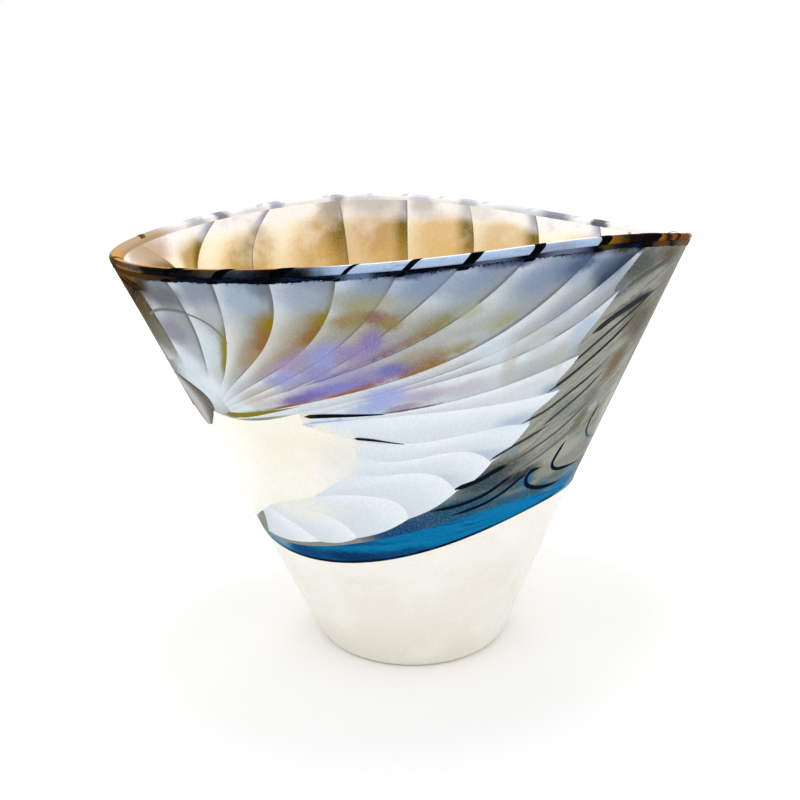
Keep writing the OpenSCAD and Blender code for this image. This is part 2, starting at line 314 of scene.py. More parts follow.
def tiles(grids):
    """Raised tiles from grids of (bearing, slant, proud, fan bearing, fan slant, u, t, tone)."""
    parts = []
    for g in grids:
        b, s, proud = g[..., 0], g[..., 1], g[..., 2]
        area = np.cross(g[1, 0, :2] - g[0, 0, :2], g[0, 1, :2] - g[0, 0, :2])
        place = g[..., [3, 4, 2]]
        parts.append((wall_points(b, s, -proud), wall_points(b, s, SUNK), place, g[..., 5:8], area < 0))
    return slabs(parts)


def ring(section, columns=360, fan=True):
    """A closed ring. The section gives (radius, height) and (slant, depth), in mm, at each bearing."""
    b = np.arange(columns) * 360 / columns
    rz, sd = section(b)           # two arrays of (points, columns, 2)
    n = len(rz)
    a = np.radians(b)
    verts = np.stack([rz[..., 0] * np.sin(a), -rz[..., 0] * np.cos(a), rz[..., 1]], -1) * MM
    verts = verts.transpose(1, 0, 2).reshape(-1, 3)
    f = quads(columns, n, True, True)[:, ::-1]
    i, j = f // n, f % n
    column = np.repeat(np.arange(columns), n)[:, None]
    true_b = b[column] + np.where(i == column, 0, 360 / columns)
    middle = b[column] + 180 / columns + 0 * i
    s = sd[j, i, 0]
    if fan:
        fan_b, fan_s = fan_place(middle, s)
        fan_b = fan_b + true_b - middle
    else:
        fan_b, fan_s = (middle + 180) % 360 - 180 + true_b - middle, s
    place = np.stack([fan_b, fan_s, sd[j, i, 1]], -1).reshape(-1, 3)
    strip = np.stack([np.sin(np.radians(true_b)), np.cos(np.radians(true_b)), s], -1).reshape(-1, 3)
    return verts, f, place, strip


def section_points(b, pairs):
    """A ring's section from (slant, depth) pairs, each a number or an array over the bearings."""
    rz, sd = [], []
    for s, d in pairs:
        s, d = s + 0 * b, d + 0 * b
        rz.append(np.stack(wall_rz(b, s, d), -1))
        sd.append(np.stack([s, d], -1))
    return np.array(rz), np.array(sd)


# -------------------- glass

def rgb(code):
    """Linear colour from a hex code."""
    parts = [int(code[i:i + 2], 16) / 255 for i in (0, 2, 4)]
    return tuple(((c + 0.055) / 1.055) ** 2.4 if c > 0.04045 else c / 12.92 for c in parts) + (1.0,)


class Glass:
    """One glass: a node material whose colour is laid down in steps over the unrolled wall."""

    def __init__(self, name, colour, roughness=0.22, coat=0.02, wobble=1.3, window=False, specular=0.0):
        self.material = bpy.data.materials.new(name)
        self.material.use_nodes = True
        self.tree = self.material.node_tree
        self.tree.nodes.clear()
        self.place = self.node("Attribute", {"attribute_name": "place"}).outputs["Vector"]
        self.strip = self.node("Attribute", {"attribute_name": "strip"}).outputs["Vector"]
        self.solid = self.node("TexCoord").outputs["Object"]
        self.b, self.s, self.d = self.split(self.place)
        self.u, self.t, self.tone = self.split(self.strip)
        self.window = self.smooth(self.math("ABSOLUTE", self.b), 76, 88, 1, 0) if window else None
        coarse = self.vector("SUBTRACT", self.noise(70, 3, colour=True), (0.5, 0.5, 0.5))
        fine = self.vector("SUBTRACT", self.noise(420, 2, colour=True), (0.5, 0.5, 0.5))
        both = self.vector("ADD", coarse, self.vector("MULTIPLY", fine, (0.6, 0.6, 0)))
        shift = self.vector("MULTIPLY", both, (3 * wobble, 3 * wobble, 0))
        self.drift = self.vector("ADD", self.place, shift)
        self.colour = self.mix(0.0, rgb(colour), rgb(colour))
        self.roughness, self.coat, self.specular = roughness, coat, specular

    def node(self, kind, props=None, feeds=None):
        node = self.tree.nodes.new("ShaderNode" + kind)
        for key, value in (props or {}).items():
            setattr(node, key, value)
        for key, value in (feeds or {}).items():
            if isinstance(value, bpy.types.NodeSocket):
                self.tree.links.new(value, node.inputs[key])
            else:
                node.inputs[key].default_value = value
        return node

    def split(self, vector):
        return tuple(self.node("SeparateXYZ", None, {0: vector}).outputs)

    def math(self, operation, a, b=0.0):
        return self.node("Math", {"operation": operation}, {0: a, 1: b}).outputs[0]

    def times(self, a, b):
        return self.math("MULTIPLY", a, b)

    def vector(self, operation, a, b):
        return self.node("VectorMath", {"operation": operation}, {0: a, 1: b}).outputs[0]

    def mix(self, factor, a, b):
        props = {"data_type": "RGBA", "clamp_factor": True}
        return self.node("Mix", props, {0: factor, 6: a, 7: b}).outputs[2]

    def smooth(self, value, low, high, at_low=0.0, at_high=1.0):
        feeds = {"Value": value, "From Min": low, "From Max": high, "To Min": at_low, "To Max": at_high}
        return self.node("MapRange", {"interpolation_type": "SMOOTHSTEP"}, feeds).outputs[0]

    def noise(self, scale, detail=2, vector=None, colour=False):
        feeds = {"Vector": vector or self.solid, "Scale": scale, "Detail": detail}
        return self.node("TexNoise", None, feeds).outputs["Color" if colour else "Fac"]

    def framed(self, vector, scale, turn=0.0, origin=(0, 0, 0)):
        """Coordinates in a frame with its own origin, turn in degrees and unit lengths."""
        feeds = {"Vector": vector, "Location": origin, "Scale": scale,
                 "Rotation": (0, 0, math.radians(turn))}
        return self.node("Mapping", {"vector_type": "TEXTURE"}, feeds).outputs[0]

    def streaks(self, across, round_it, turn=0.0):
        """Noise drawn out along the wall: across is its pitch in mm, round_it its length in degrees.

        Where a window fades a glass's fan coordinates out, at the vase's sides, plain noise takes over.
        """
        drawn = self.noise(1.0, 3, self.framed(self.drift, (round_it, across, 1e3), turn))
        if not self.window:
            return drawn
        plain = self.noise(1.0, 3, self.framed(self.solid, (0.03, 0.03, across * MM)))
        plain = self.times(plain, self.math("SUBTRACT", 1.0, self.window))
        return self.math("ADD", self.times(drawn, self.window), plain)

    def lay(self, colour, mask):
        self.colour = self.mix(mask, self.colour, rgb(colour))

    def side(self, name):
        """How far a place lies towards a plume's white edge, its dark side or the line at its foot."""
        if name == "light":
            return self.smooth(self.u, 0.0, 0.55, 1, 0)
        low, high = {"dark": (0.3, 1.0), "edge": (0.7, 0.92), "line": (0.88, 0.97)}[name]
        return self.smooth(self.u, low, high)

    def ball(self, b, s, rb, rs, turn, strength):
        """A soft spot centred on a place. Its half lengths are in degrees and mm."""
        near = self.framed(self.drift, (rb, rs, 1e4), turn, (b, s, 0))
        fade = self.node("TexGradient", {"gradient_type": "SPHERICAL"}, {0: near}).outputs["Fac"]
        return self.smooth(fade, 0.0, 0.75, 0.0, strength)

    def patch(self, b, s, rb, rs, turn, colour, strength=0.9, side=None, plume=None):
        """A soft tint, kept to one side of the plumes or to one plume where asked."""
        mask = self.ball(b, s, rb, rs, turn, strength)
        if side:
            mask = self.times(mask, self.side(side))
        if plume:
            feeds = {0: self.tone, 1: plume / PLUMES, 2: 0.5 / PLUMES}
            own = self.node("Math", {"operation": "COMPARE"}, feeds).outputs[0]
            mask = self.times(mask, own)
        if self.window:
            mask = self.times(mask, self.window)
        self.lay(colour, mask)

    def patches(self, rows):
        for row in rows:
            self.patch(*row)

    def speckle(self, amount, colour="ffffff"):
        self.lay(colour, self.smooth(self.noise(2400, 3), 0.5, 0.72, 0.0, amount))

    def finish(self, bump=0.12, grain=0.05, gain=GAIN):
        """Joins the colour to the shader, with fine value grain, worn roughness and a hand-blown ripple."""
        value = self.smooth(self.noise(1500, 2), 0.3, 0.7, gain * (1 - grain), gain * (1 + grain))
        values = self.node("CombineXYZ", None, {0: value, 1: value, 2: value}).outputs[0]
        colour = self.vector("MULTIPLY", self.colour, values)
        ripple = self.math("ADD", self.noise(45, 2), self.times(self.noise(900, 2), 0.03))
        normal = self.node("Bump", None, {"Strength": bump, "Distance": 0.002, "Height": ripple}).outputs[0]
        rough = self.smooth(self.noise(160, 3), 0.3, 0.7, self.roughness * 0.7, self.roughness * 1.3)
        feeds = {"Base Color": colour, "Roughness": rough, "Normal": normal, "IOR": 1.5,
                 "Specular IOR Level": self.specular, "Coat Weight": self.coat, "Coat Roughness": 0.06}
        shader = self.node("BsdfPrincipled", None, feeds).outputs[0]
        self.node("OutputMaterial", None, {"Surface": shader})
        return self.material


def amber_rim(g):
    """Brown and amber glass at the left end of the lip."""
    g.patches([
        (-66, 158, 11, 16, 0, "68634f", 0.95), (-65, 169, 11, 14, 0, "4c3c12", 1.0),
        (-65, 175, 13, 9, 0, "3a2200", 1.0), (-66, 179, 12, 4, 0, "74500c", 0.95),
        (-52, 179.5, 8, 3, 0, "240f02", 1.0), (-63, 171, 9, 1.6, 35, "140a02"),
        (-67, 166, 9, 1.4, 40, "1c1408", 0.8), (-62, 176, 8, 1.2, -20, "120800", 0.8),
    ])


def spatter(g):
    """Dark specks where the lip thread bled into the glass below it."""
    edge = g.math("ADD", g.s, g.times(g.noise(1500, 3), 3.2))
    edge = g.math("ADD", edge, g.times(g.noise(260, 2), 2.6))
    g.lay("121827", g.smooth(edge, PATTERN_TOP + 3.0, PATTERN_TOP + 3.9, 0, 0.92))


def opal_plume_glass():
    g = Glass("opal_plume_glass", "dee8ef")
    g.lay("bfc7cc", g.smooth(g.s, 120, 148))
    g.lay("a4adb2", g.smooth(g.s, 150, 166))
    g.lay("8496b0", g.smooth(g.s, 166, 180))
    # broad gold over mauve over violet
    g.patches([
        (-24, 159, 15, 10, 10, "a39c80", 0.85), (-7, 161, 16, 9, 6, "96917c", 0.95),
        (7, 159, 16, 8, 20, "98998a", 0.85), (-39, 150, 7, 18, -10, "b3b2a0", 0.85),
        (-31, 150, 10, 12, 10, "ab9e8c"), (-13, 152, 19, 9, 14, "988c98", 0.95),
        (-25, 143, 14, 8, 25, "a89db4", 0.95), (-14, 142, 16, 7, 24, "8a80a8", 0.95),
        (1, 148, 11, 7, 26, "94886e"), (-24, 136, 15, 5, 22, "9485a8", 0.95),
        (-36, 134, 9, 7, 30, "c2bbb4"), (0, 135, 16, 6, 14, "bab8c4", 0.85), (15, 143, 11, 8, 15, "c6cccc"),
        (34, 137, 16, 9, 10, "b9c0c0", 0.8),
    ])
    # pale upper edge and darker foot of each plume
    toned = g.ball(-10, 151, 32, 24, 12, 0.8)
    away = g.smooth(g.t, 0.03, 0.4)
    light = g.times(g.times(g.side("light"), away), g.smooth(g.s, 178, 120, 0.45, 0.8))
    bare = g.math("SUBTRACT", 1.0, toned)
    g.lay("eef4fa", g.times(light, bare))
    shadow = g.times(g.side("dark"), g.smooth(g.s, 112, 160, 0.1, 0.55))
    g.lay("84888a", g.times(shadow, bare))
    line = g.times(g.side("line"), away)
    g.lay("5a5248", g.times(line, g.smooth(g.s, 125, 145, 0.0, 0.55)))
    g.patches([
        # cream where the roots run into the plain field
        (-27, 122, 9, 7, 0, "f3eddc", 1.0), (-24, 116, 14, 8, 0, "f3eddc", 1.0),
        (-27, 106, 16, 12, 0, "eeeee2"), (-36, 84, 18, 10, 0, "eceee6"),
        # greys and whites at the left
        (-54, 158, 8, 9, 0, "8e9099", 0.95, None, 1), (-46, 155, 7, 10, 0, "d0dbe4", 0.9, None, 2),
        (-55, 144, 9, 7, 0, "d2dee5", 1.0), (-50, 136, 8, 8, 0, "dbe5e9", 1.0),
        (-44, 150, 3, 13, -6, "cbd6da", 0.8), (-51, 172, 9, 7, 0, "707176", 1.0),
        (-42, 174, 4, 9, 0, "8c95a2"), (-40, 166, 4, 8, 0, "adb6b9", 0.8), (-32, 172, 6, 8, 0, "9fafc0"),
        (-33, 165, 5, 8, 0, "b4babb", 0.8, "light"), (-21, 173, 6, 7, 0, "9ea9b8", 0.8),
        (-28, 176, 3, 6, 0, "5d6670", 0.7, "dark"), (-12, 171, 8, 6, 0, "959788", 0.7),
        # olive gold
        (-40.5, 151, 4, 14, -10, "8a8030", 1.0, "edge", 2),
        (-28.5, 162, 6, 9, -14, "8a7000", 1.0, "dark", 3), (-31, 156, 6, 8, -28, "8c6432", 1.0, "dark", 3),
        (-34, 149, 7, 7, 40, "a08468", 0.9, "dark", 3), (-18, 164, 6, 6, 30, "877200", 1.0, "dark", 4),
        (-20.5, 158.5, 7, 5, 45, "85601c", 1.0, "dark", 4),
        (-25.5, 152.5, 8, 4, 45, "94744e", 0.95, "dark", 4), (-8, 169, 9, 5, 15, "9c9564", 0.6),
        (-12, 164.5, 8, 4, 15, "8f7c44", 0.8), (-7.4, 164, 3, 4, 0, "7c5054", 0.75),
        (-5, 162, 4, 4, 20, "8a7640", 0.8), (4, 161.5, 6, 3.5, 35, "8a7a10", 1.0, "dark", 7),
        (0, 156.5, 7, 3, 34, "85682c", 1.0, "dark", 7), (-5, 153, 6, 3, 32, "7c5850", 0.9, "dark", 7),
        (9, 151, 7, 4, 24, "8c7a24", 1.0, "dark", 8), (2.5, 146.5, 7, 3, 26, "8a5c30", 1.0, "dark", 8),
        (19, 158, 7, 4, 25, "a09a48", 0.9, "dark", 8), (12, 163, 6, 4, 25, "a8ac94", 0.7),
        # pink and violet
        (-35, 144, 7, 4, 40, "a68c98", 0.8, "dark"), (-25, 149, 9, 4, 42, "9c8cae", 0.85),
        (-18.5, 151, 4.5, 9, -12, "8f96cc"), (-21, 144.5, 6, 5, 20, "8a8cbc", 0.85),
        (-28.5, 141.5, 7, 4.5, 25, "989bcc"), (-9, 155.5, 4, 7, -12, "8478ac", 1.0),
        (-13, 152, 5, 5, 0, "8c80b4", 0.8), (-10.5, 149.5, 10, 2.4, 30, "6c4a7c", 0.95, "dark", 7),
        (-20, 143, 10, 2.2, 30, "74609c", 0.9, "dark", 7),
        (-4.5, 144.5, 6, 4.5, 20, "6264b4", 0.8, None, 8),
        (-1.5, 143.2, 4, 2.5, 26, "86507c", 0.9, "dark", 8),
        (-18, 138.2, 13, 3.5, 24, "7f7ec0", 0.9, None, 8), (-25, 134, 9, 2.6, 24, "7868a8", 0.95, None, 8),
        (-9, 140.4, 8, 2.2, 26, "7c5090", 0.95, "dark", 8), (-6.5, 133.8, 8, 6, 16, "9caade"),
        (-10, 130, 8, 3.5, 10, "a0acdc", 0.85), (2, 133, 8, 4, 12, "b0aac0", 0.8),
        (-3, 129, 6, 2, 10, "8c7090", 0.7), (12, 134, 9, 4, 12, "bdb8c2", 0.7),
        # strokes along the lower edges
        (-40, 125.5, 11, 2.6, 24, "847818", 1.0, "dark", 8),
        (-29, 130.2, 8, 2.4, 26, "8c6030", 1.0, "edge", 8),
        (-14, 137, 13, 2.6, 27, "95552c", 0.9, "edge", 8), (3, 144, 9, 3, 27, "8c6a24", 0.9, "edge", 8),
        (-22, 139, 22, 5, 26, "4d3a50", 0.8, "line", 7), (0, 128.6, 12, 1.6, 10, "5a3a52", 0.9, "line", 11),
        (-20, 124, 12, 2, 8, "94b0ea", 0.9, None, 12), (-27, 122.5, 5, 1.6, 8, "a6bce8", 0.8),
        # steel blue at the right of the rim
        (5, 174, 18, 7, 0, "7f92b0", 0.6), (28, 171, 13, 8, 25, "7b8ea9", 0.7),
        (38, 174, 10, 7, 20, "566a8b", 0.9, "dark"), (40, 169, 6, 5, 25, "93a5bd", 0.8, "light"),
        (50, 172, 10, 8, 20, "5f7089"), (50, 172, 12, 9, 20, "35455e", 1.0, "dark"),
        (52, 165, 8, 5, 30, "93a3ba", 0.8, "light"), (51, 168, 8, 3, 30, "35445a", 0.9, "dark"),
        (57, 173, 6, 7, 0, "35404c", 0.9, "dark"), (41, 174, 7, 4, 20, "4a5e7e"),
        (42, 178.5, 9, 3, 0, "2c3750", 0.95), (53, 178.5, 6, 3, 0, "3a3828", 0.95),
        (61, 178.5, 6, 3, 0, "10141f", 0.95), (0, 178.5, 7, 2.5, 0, "3d5070"),
        (20, 178.5, 10, 2.5, 0, "42506e"), (-58, 177, 6, 6, 0, "4c3510", 0.95),
        # pale blue and beige at the middle right
        (20, 146, 9, 7, 15, "cbd7e1"), (33, 145, 7, 6, 15, "c2cacd", 0.7),
        (38, 155, 8, 6, 25, "b4c1d4", 0.9, "light"), (48, 150, 8, 6, 25, "b6c5d9"),
        (24, 141, 3.5, 12, 0, "b9b2a8", 0.55), (41, 140, 3.5, 9, 0, "bbb9a8", 0.55),
        (30, 151, 8, 5, 20, "b2b5ae", 0.6), (36, 158, 8, 4, 25, "8e9cae", 0.7, "dark"),
        (50, 142, 8, 4, 20, "98a1a6", 0.8, "dark"),
        # shaded feet of the lower tips
        (44, 127, 10, 5, 10, "8fa0b8", 0.9, "dark"), (38, 134, 12, 5, 12, "aab4bc", 0.7, "dark"),
        (33, 117, 14, 4, 4, "a8b8d0", 0.9, "dark"), (22, 104, 12, 4, -8, "b0bfd4", 0.8, "dark"),
        (8, 96, 12, 5, -10, "c0cad6", 0.7, "dark"), (-8, 84, 12, 5, -10, "cfd8e0", 0.6, "dark"),
        (36, 128, 14, 4, 8, "cfdcec", 0.9, "light"), (28, 115, 18, 6, 2, "dfeaf6", 0.9, "light"),
    ])
    g.lay("f0ece6", g.times(toned, g.smooth(g.noise(2600, 3), 0.48, 0.7, 0, 0.2)))
    g.lay("6e5f66", g.times(toned, g.smooth(g.noise(2200, 3), 0.54, 0.7, 0, 0.18)))
    spatter(g)
    amber_rim(g)
    return g.finish()


def opal_field_glass():
    g = Glass("opal_field_glass", "f4f1e3", wobble=3, coat=0.06, specular=0.1)
    g.patches([
        (-58, 105, 20, 45, 0, "fbf9f0"), (-28, 112, 18, 14, 0, "f2ecdb"),
        (-8, 95, 22, 34, 10, "dde1e2", 0.95), (-30, 78, 22, 14, 10, "e8e9e6"),
        (-56, 70, 14, 8, 10, "dcdcd6", 0.7), (-52, 128, 10, 6, 0, "dde5e8", 0.8),
        (-25, 88, 1.2, 12, -14, "cfd0cc", 0.5),
    ])
    g.lay("ffffff", g.smooth(g.noise(55, 4), 0.45, 0.75, 0, 0.25))
    g.speckle(0.15, "fffdf4")
    return g.finish(grain=0.03, gain=0.94)


def smoke_streak_glass():
    g = Glass("smoke_streak_glass", "86837b")
    g.lay("56524a", g.smooth(g.u, 0.66, 0.95, 0, 0.9))
    # paler glass with a painted highlight along the middle of the lower streak
    pale = g.times(g.smooth(g.u, 0.1, 0.3), g.smooth(g.u, 0.75, 0.5))
    g.lay("c3c4c4", g.times(pale, g.smooth(g.s, 141, 136, 0, 0.8)))
    g.lay("c2c8ca", g.times(g.smooth(g.s, 156, 143, 0, 0.9), g.smooth(g.s, 139, 141)))
    g.patches([(-60, 152, 6, 9, 0, "7c776c", 0.6), (-66, 163, 8, 12, 0, "665d48")])
    amber_rim(g)
    wisps = g.smooth(g.streaks(2.5, 14, -60), 0.5, 0.75, 0, 0.35)
    g.lay("cfcfca", g.times(g.smooth(g.s, 150, 140), wisps))
    g.speckle(0.15)
    spatter(g)
    return g.finish()


def smoke_ground_glass():
    g = Glass("smoke_glass", "8b8c84", window=True)
    upper = g.times(g.smooth(g.s, 96, 104), g.window)
    g.lay("a2a598", g.times(upper, g.smooth(g.streaks(2.2, 40, 38), 0.42, 0.62, 0, 0.85)))
    g.lay("66675e", g.times(upper, g.smooth(g.streaks(2.6, 46, 40), 0.5, 0.68, 0, 0.8)))
    g.lay("a2a598", g.smooth(g.streaks(2.4, 40, 16), 0.45, 0.68, 0, 0.6))
    g.patches([
        (57, 96, 14, 6, 8, "a5a798"), (47, 105, 14, 4, 35, "9ea298", 0.8),
        (60, 123, 10, 4, 38, "989a90", 0.7), (26, 95, 20, 7, 14, "434946"),
        (36, 88, 16, 5, 16, "3d4a4c", 0.8), (14, 82, 28, 8, 10, "1c4c62", 1.0),
        (-4, 73, 18, 5, 10, "123f66", 1.0), (14, 78, 18, 4, 6, "174f70", 1.0),
        (23, 91, 13, 6, 12, "32464f", 0.95), (36, 90.5, 13, 4, 12, "252e34", 0.95),
        (40, 85.5, 9, 3, 4, "2d5566"), (53, 84, 10, 3.5, 0, "5f706c", 0.8), (50, 79.5, 12, 3, 0, "1e5872"),
        (61, 84.5, 8, 3, 0, "4e6165", 0.8), (30, 104, 6, 5, 20, "7d909d", 0.8),
        (30, 80, 14, 3.5, 3, "1f5d7c", 1.0), (-6, 76, 18, 7, 8, "0b4470", 0.95),
        (38, 80, 34, 4.5, 2, "23586f", 0.95), (66, 79, 17, 5, 0, "17709e", 1.0),
        (72, 84, 10, 4, 0, "5c8698", 0.8), (42, 86, 4, 5, 0, "176c9c"), (70, 99, 4, 6, 0, "7fa0ac", 0.5),
        (74, 148, 12, 14, 20, "665d50"), (70, 131, 6, 12, -20, "77654e", 0.95),
        (63, 117, 5, 10, -20, "76776a", 0.8), (60, 107, 4, 8, -20, "66684f"),
        (62, 171, 12, 9, 10, "50544f", 0.95), (76, 175, 12, 6, 0, "5c4f42"),
        (67, 156, 12, 4, 30, "484c57", 0.95), (57, 163, 6, 6, 30, "5e6a76", 0.8),
        # the pale patches at bearing 84, slant 108 and bearing 80, slant 130 are a painted highlight near
        # the right side
        (85, 160, 12, 24, 0, "7d7463", 0.95), (84, 108, 10, 26, 0, "ccccc9", 0.95),
        (80, 130, 6, 8, 0, "a8a69c", 0.7), (66, 113, 4, 3, 20, "a6b2bc", 0.7),
        (50, 116, 9, 5, 30, "7a827e", 0.8), (57, 143, 8, 7, 35, "8e8f86", 0.7),
        (-24, 124, 9, 9, 0, "f3eddc", 1.0), (-53, 136, 14, 18, 0, "d4e0e6", 1.0),
        (-46, 174, 16, 8, 8, "85888f", 0.95), (-66, 162, 10, 16, 0, "6e6753"),
        (-80, 130, 14, 30, 0, "b8b6ae", 0.8), (-70, 96, 14, 26, 0, "f2f0e6", 0.95),
        (-72, 73, 14, 8, 0, "b9d0d8", 0.8),
    ])
    g.speckle(0.12)
    spatter(g)
    amber_rim(g)
    return g.finish()


def teal_glass():
    g = Glass("teal_glass", "0672a6", window=True, roughness=0.14)
    g.lay("064b7c", g.smooth(g.streaks(2.2, 34, 4), 0.5, 0.66, 0, 0.75))
    g.lay("0a86bc", g.smooth(g.streaks(1.6, 40, 2), 0.55, 0.72, 0, 0.6))
    # the pale patches at bearings -68, -54, 80 and 86 are a painted highlight where the band turns away at
    # the sides
    g.patches([
        (-22, 61, 22, 5, 5, "072d5c", 0.95), (-40, 60, 14, 6, 0, "0d4270"),
        (-54, 61, 8, 5, 0, "86a4b4", 0.8), (-4, 64, 16, 3, 8, "083a6c", 0.8), (40, 75, 26, 4, 0, "0678b0"),
        (10, 78, 16, 3, 6, "0a557e"), (80, 74, 12, 8, 0, "7fb0c6"), (86, 72, 8, 8, 0, "b8d2dc"),
        (-68, 62, 14, 8, 0, "9fb8c4", 0.8),
    ])
    g.speckle(0.06, "9fd0e8")
    return g.finish()


def navy_glass():
    g = Glass("navy_glass", "0a2c4e", window=True, roughness=0.12, coat=0.05)
    g.lay("02060f", g.smooth(g.streaks(1.5, 18), 0.42, 0.6, 0, 0.9))
    # the pale patches at bearings 74 and -62 are a painted highlight where the thread turns away at the
    # sides
    g.patches([
        (45, 71, 24, 5, 0, "1b6a90", 0.7), (74, 72, 16, 6, 0, "7fa9bd"), (-62, 58, 14, 6, 0, "6f93a8", 0.8),
        (-25, 58, 22, 6, 0, "030a1c"),
    ])
    return g.finish()


def ivory_glass():
    g = Glass("ivory_glass", "f0ece1", wobble=4, window=True, roughness=0.2, coat=0.08, specular=0.15)
    # painted shade: darker towards the floor
    g.lay("e9e4d5", g.smooth(g.s, 30, 4, 0, 0.75))
    g.lay("f7f4ec", g.smooth(g.s, 34, 60, 0, 0.8))
    g.lay("fffdf6", g.smooth(g.noise(38, 4), 0.45, 0.72, 0, 0.45))
    g.lay("e3dccb", g.smooth(g.streaks(3.0, 60), 0.55, 0.8, 0, 0.3))
    g.speckle(0.18, "fffefa")
    return g.finish(grain=0.025, gain=0.93)


def amber_lining_glass():
    """Gold panels of the lining, each pale at one side and olive at the other, with a painted silvery
    reflection towards the lip.
    """
    g = Glass("amber_lining_glass", "f2e0b8", roughness=0.16)
    g.lay("fff8e0", g.smooth(g.t, 0.45, 0.75, 0, 0.95))
    g.lay("d3b06c", g.smooth(g.t, 0.5, 0.2, 0, 0.75))
    g.patches([
        (-168, 165, 15, 30, 0, "bf9f6c", 0.95), (171, 165, 12, 30, 0, "dcbf8c"),
        (154, 162, 11, 26, 0, "d9c094"), (-151, 160, 10, 28, 0, "c3a068", 0.85),
        (-133, 160, 8, 24, 0, "ac8838", 0.8), (-110, 163, 12, 22, 0, "b0904c", 0.85),
    ])
    g.lay("745e00", g.smooth(g.t, 0.3, 0.07, 0, 1.0))
    g.lay("fff8e6", g.smooth(g.noise(60, 3), 0.5, 0.75, 0, 0.5))
    g.lay("e0b866", g.smooth(g.s, 170, 150, 0, 0.45))
    # painted reflection: silvery white towards the lip, blue-grey at each panel's edge, with a lavender
    # mottle
    shift = g.times(g.noise(40, 3), 14)
    painted_reflection = g.smooth(g.math("ADD", g.s, shift), 176, 184, 0, 0.97)
    g.lay("fbfafb", painted_reflection)
    g.lay("9aa0b8", g.times(painted_reflection, g.smooth(g.t, 0.2, 0.02)))
    g.lay("c6c4d6", g.times(painted_reflection, g.smooth(g.noise(90, 3), 0.52, 0.68, 0, 0.5)))
    g.lay("6e6a5c", g.smooth(g.t, 0.03, 0.0, 0, 0.8))
    g.lay("c8a878", g.smooth(g.s, 140, 80, 0, 0.8))
    g.patches([
        (-92, 177, 14, 11, 0, "bfa58a"), (-168, 179, 15, 10, 0, "c2bdb8", 0.85),
        (175, 179, 6, 9, 0, "bdb7b4", 0.8), (-153, 178, 6, 10, 0, "a39b8d", 0.85),
        (160, 179, 8, 8, 0, "d8d8d8", 0.6),
    ])
    g.speckle(0.2, "fff8e6")
    return g.finish(gain=1.0)


def lip_glass():
    g = Glass("lip_glass", "a9c0de", roughness=0.1, coat=0.04)
    g.lay("7f93b4", g.smooth(g.streaks(1.2, 9), 0.52, 0.7, 0, 0.6))
    g.lay("7c5216", g.times(g.smooth(g.b, 45, 48), g.smooth(g.b, 100, 92)))
    g.patches([
        (-44, 181, 34, 9, 0, "080606", 1.0), (-24, 181, 12, 9, 0, "080a10", 1.0),
        (-68, 181, 16, 9, 0, "4a300c", 1.0), (-60, 180.5, 8, 2, 0, "9c6a20"),
        (-37, 181, 4, 9, 0, "4a4434", 0.7), (31, 181, 9, 9, 0, "8b93ac", 0.7),
        (47, 181, 4, 9, 0, "7a5c14", 1.0), (57, 181, 8, 9, 0, "0c0806", 1.0),
        (66, 181, 3, 9, 0, "8a5812", 1.0), (71, 181, 3, 9, 0, "2a120a", 1.0),
        (80, 181, 8, 9, 0, "70420f", 1.0), (92, 181, 8, 9, 0, "8a7350", 1.0),
        (-84, 181, 14, 9, 0, "a98a5c"),
    ])
    # the bead's crown catches the light: amber at the left, pale blue further on
    front = g.times(g.smooth(g.b, -112, -96), g.smooth(g.b, 96, 84))
    crown = g.times(front, g.smooth(g.d, 1.1, 1.9))
    left, middle = g.smooth(g.b, -16, -26), g.smooth(g.b, -20, -12)
    g.lay("c99556", g.times(crown, left))
    g.lay("f6f9fd", g.times(crown, g.times(middle, g.smooth(g.b, 47, 42))))
    # the far side is a painted silvery reflection
    g.lay("f7f6f7", g.math("SUBTRACT", 1.0, front))
    for b, width, colour, strength in REAR_MARKS:
        g.patch(b, 181, width, 9, 0, colour, strength)
    return g.finish(bump=0.06)


def dark_thread_glass():
    g = Glass("dark_thread_glass", "03060e", roughness=0.14)
    g.lay("1a2b50", g.smooth(g.streaks(0.8, 6), 0.5, 0.7, 0, 0.7))
    g.patches([
        (-60, 179, 18, 9, 0, "4a3010"), (16, 179, 6, 9, 0, "59617e"), (34, 179, 9, 9, 0, "6a708c"),
        (-10, 179, 4, 9, 0, "5f7898", 0.8), (47, 179, 4, 9, 0, "4c3c16", 0.8), (68, 179, 5, 9, 0, "5e3c14"),
        (82, 179, 10, 9, 0, "6e5a40"),
    ])
    rear = g.smooth(g.math("ABSOLUTE", g.b), 95, 112)
    g.lay("8fa0b8", g.times(rear, g.smooth(g.noise(30, 2), 0.4, 0.6, 0.3, 1.0)))
    return g.finish(bump=0.3)


def cane_glass():
    g = Glass("cane_glass", "010205", roughness=0.1)
    g.lay("16233c", g.smooth(g.noise(300, 3), 0.55, 0.72, 0, 0.6))
    g.patches([(60, 180, 10, 12, 0, "0a0603", 0.8), (74, 180, 5, 12, 0, "3a1c0c")])
    rear = g.smooth(g.math("ABSOLUTE", g.b), 100, 112)
    g.lay("6a4a1c", g.smooth(g.b, -60, -72, 0, 0.85))
    # painted silvery reflection where the canes cross the far side, as on the bead
    g.lay("d0d1da", rear)
    return g.finish()


